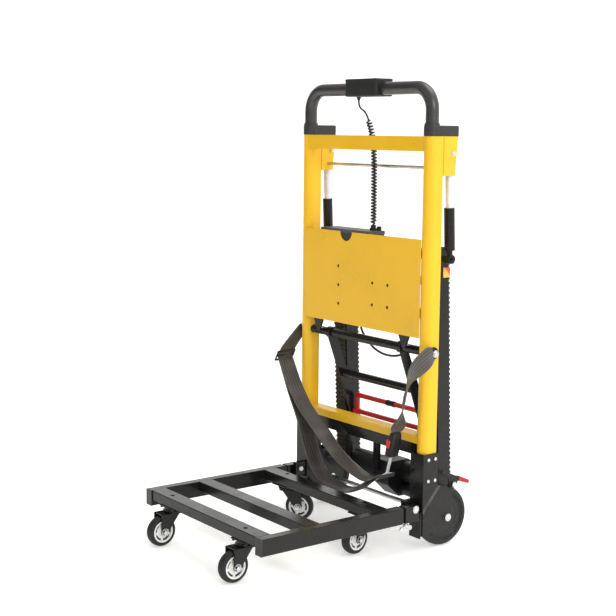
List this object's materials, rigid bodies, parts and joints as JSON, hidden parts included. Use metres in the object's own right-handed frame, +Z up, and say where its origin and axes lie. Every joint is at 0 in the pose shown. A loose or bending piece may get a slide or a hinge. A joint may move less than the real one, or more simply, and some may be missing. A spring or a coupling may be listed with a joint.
{
  "type": "stair climbing trolley",
  "caption": "Upright powered hand truck with twin tracked crawlers, fold-up caster platform, telescoping handle and strap harness for carrying loads on stairs.",
  "frame": {"origin": "on the floor, under the middle of the whole trolley's bounding box", "axes": "+X to the trolley's right seen from the platform side's back, -Y towards the load platform, +Z up"},
  "size_m": [0.54, 0.6841, 1.1445],
  "materials": {
    "yellow_paint": "satin",
    "black_paint": "satin",
    "red_paint": "gloss",
    "bright_steel": "satin",
    "chrome": "polished",
    "grey_plastic": "matte",
    "black_plastic": "matte",
    "red_plastic": "gloss",
    "white_plastic": "matte",
    "belt_rubber": "matte",
    "tyre_rubber": "matte",
    "webbing": "matte"
  },
  "bodies": {
    "frame": {"upright_left": "yellow_paint", "upright_right": "yellow_paint", "post_caps": "black_plastic", "rear_brackets": "yellow_paint", "tie_rod": "bright_steel", "upper_crossbar": "yellow_paint", "lower_crossbar": "yellow_paint", "lower_beam": "black_paint", "front_panel": "yellow_paint", "strap_tube": "black_paint", "strap_anchors": "bright_steel", "battery_case": "black_plastic", "battery_lid": "grey_plastic", "cable_glands": "black_plastic", "boot_left": "black_paint", "boot_right": "black_paint", "boot_rivets": "bright_steel", "frame_bolts": "bright_steel", "wheel_axle": "bright_steel", "motor": "black_paint", "gearbox": "bright_steel", "motor_cable": "black_plastic", "webbing_left": "webbing", "webbing_right": "webbing", "buckle": "black_plastic", "strap_fittings": "black_plastic"},
    "handle": {"handle_tube": "black_paint", "control_box": "black_plastic", "cord_tail": "black_plastic", "cord_coil": "black_plastic"},
    "rocker": {"rocker_switch": "black_plastic"},
    "power_button": {"power_button": "red_plastic"},
    "wheel_left": {"wheel_left": "tyre_rubber"},
    "wheel_right": {"wheel_right": "tyre_rubber"},
    "crawler": {"crawler_frames": "black_paint", "crawler_belts": "belt_rubber", "crawler_crossbar": "black_paint"},
    "drive": {"drive_shaft": "bright_steel"},
    "idlers": {"idler_pulleys": "black_plastic"},
    "strut_rods": {"strut_rods": "bright_steel"},
    "strut_cylinders": {"strut_cylinders": "black_paint"},
    "swing": {"swing_frame": "black_paint"},
    "foot_bar": {"foot_bar": "red_paint"},
    "pedal": {"pedal_arm": "bright_steel", "pedal_pad": "red_plastic"},
    "buckle_button": {"buckle_button": "red_plastic"},
    "platform": {"platform_rails": "black_paint", "rail_plugs": "black_plastic", "platform_crossbars": "black_paint", "hinge_blocks": "black_paint", "lock_screws": "bright_steel", "caster_mounts": "black_paint"},
    "fork_front_left": {"caster_fork_front_left": "black_paint"},
    "roller_front_left": {"caster_wheel_front_left": "tyre_rubber"},
    "fork_front_right": {"caster_fork_front_right": "black_paint"},
    "roller_front_right": {"caster_wheel_front_right": "tyre_rubber"},
    "fork_rear_left": {"caster_fork_rear_left": "black_paint"},
    "roller_rear_left": {"caster_wheel_rear_left": "tyre_rubber"},
    "fork_rear_right": {"caster_fork_rear_right": "black_paint"},
    "roller_rear_right": {"caster_wheel_rear_right": "tyre_rubber"}
  },
  "joints": [
    {"name": "handle_slide", "type": "slide", "parent": "frame", "child": "handle", "axis": [0, 0, 1], "range_m": [0, 0.35], "deforming": ["cord_coil", "cord_tail"]},
    {"name": "rocker_tilt", "type": "hinge", "parent": "handle", "child": "rocker", "pos_m": [-0.024, 0.22335, 1.124], "axis": [1, 0, 0], "range_deg": [-6, 6]},
    {"name": "power_press", "type": "slide", "parent": "handle", "child": "power_button", "axis": [0, -1, 0], "range_m": [0, 0.0025], "stiffness_N_per_m": 400},
    {"name": "wheel_left_spin", "type": "hinge", "parent": "frame", "child": "wheel_left", "pos_m": [-0.2295, 0.26535, 0.074], "axis": [1, 0, 0], "continuous": true},
    {"name": "wheel_right_spin", "type": "hinge", "parent": "frame", "child": "wheel_right", "pos_m": [0.2295, 0.26535, 0.074], "axis": [1, 0, 0], "continuous": true},
    {"name": "crawler_swing", "type": "hinge", "parent": "frame", "child": "crawler", "pos_m": [0, 0.30085, 0.125], "axis": [-1, 0, 0], "range_deg": [0, 8]},
    {"name": "drive_spin", "type": "hinge", "parent": "frame", "child": "drive", "pos_m": [0, 0.30085, 0.125], "axis": [1, 0, 0], "continuous": true},
    {"name": "idler_spin", "type": "hinge", "parent": "crawler", "child": "idlers", "pos_m": [0, 0.27664, 0.7125], "axis": [1, 0, 0], "continuous": true},
    {"name": "strut_rod_swing", "type": "hinge", "parent": "frame", "child": "strut_rods", "pos_m": [0, 0.25485, 0.965], "axis": [1, 0, 0], "range_deg": [0, 17.8]},
    {"name": "strut_cylinder_swing", "type": "hinge", "parent": "crawler", "child": "strut_cylinders", "pos_m": [0, 0.26685, 0.712], "axis": [1, 0, 0], "range_deg": [0, 25.8]},
    {"name": "swing_frame_swing", "type": "hinge", "parent": "frame", "child": "swing", "pos_m": [0, 0.20485, 0.49], "axis": [1, 0, 0], "range_deg": [0, 6.4]},
    {"name": "foot_bar_fold", "type": "hinge", "parent": "swing", "child": "foot_bar", "pos_m": [0, 0.28685, 0.27], "axis": [-1, 0, 0], "range_deg": [0, 60]},
    {"name": "pedal_press", "type": "hinge", "parent": "frame", "child": "pedal", "pos_m": [0.253, 0.27985, 0.156], "axis": [-1, 0, 0], "range_deg": [0, 14], "stiffness_Nm_per_rad": 3},
    {"name": "buckle_press", "type": "slide", "parent": "frame", "child": "buckle_button", "axis": [0, 1, 0], "range_m": [0, 0.003], "stiffness_N_per_m": 400},
    {"name": "platform_fold", "type": "hinge", "parent": "frame", "child": "platform", "pos_m": [0, 0.16085, 0.111], "axis": [-1, 0, 0], "range_deg": [0, 90], "deforming": ["webbing_left", "webbing_right", "strap_fittings"]},
    {"name": "swivel_front_left", "type": "hinge", "parent": "platform", "child": "fork_front_left", "pos_m": [-0.159, -0.27315, 0.08], "axis": [0, 0, 1], "continuous": true},
    {"name": "roll_front_left", "type": "hinge", "parent": "fork_front_left", "child": "roller_front_left", "pos_m": [-0.15781, -0.30713, 0.0375], "axis": [0.9994, 0.0349, 0], "continuous": true},
    {"name": "swivel_front_right", "type": "hinge", "parent": "platform", "child": "fork_front_right", "pos_m": [0.159, -0.27315, 0.08], "axis": [0, 0, 1], "continuous": true},
    {"name": "roll_front_right", "type": "hinge", "parent": "fork_front_right", "child": "roller_front_right", "pos_m": [0.15959, -0.30715, 0.0375], "axis": [0.9998, 0.0175, 0], "continuous": true},
    {"name": "swivel_rear_left", "type": "hinge", "parent": "platform", "child": "fork_rear_left", "pos_m": [-0.159, 0.07785, 0.08], "axis": [0, 0, 1], "continuous": true},
    {"name": "roll_rear_left", "type": "hinge", "parent": "fork_rear_left", "child": "roller_rear_left", "pos_m": [-0.13221, 0.09878, 0.0375], "axis": [-0.6157, 0.788, 0], "continuous": true},
    {"name": "swivel_rear_right", "type": "hinge", "parent": "platform", "child": "fork_rear_right", "pos_m": [0.159, 0.07785, 0.08], "axis": [0, 0, 1], "continuous": true},
    {"name": "roll_rear_right", "type": "hinge", "parent": "fork_rear_right", "child": "roller_rear_right", "pos_m": [0.16314, 0.0441, 0.0375], "axis": [0.9925, 0.1219, 0], "continuous": true}
  ],
  "couplings": [
    {"joint": "idler_spin", "follows": "drive_spin", "ratio": 1},
    {"joint": "strut_rod_swing", "follows": "crawler_swing", "ratio": 2.2},
    {"joint": "strut_cylinder_swing", "follows": "crawler_swing", "ratio": 3.2},
    {"joint": "swing_frame_swing", "follows": "crawler_swing", "ratio": 0.78}
  ]
}
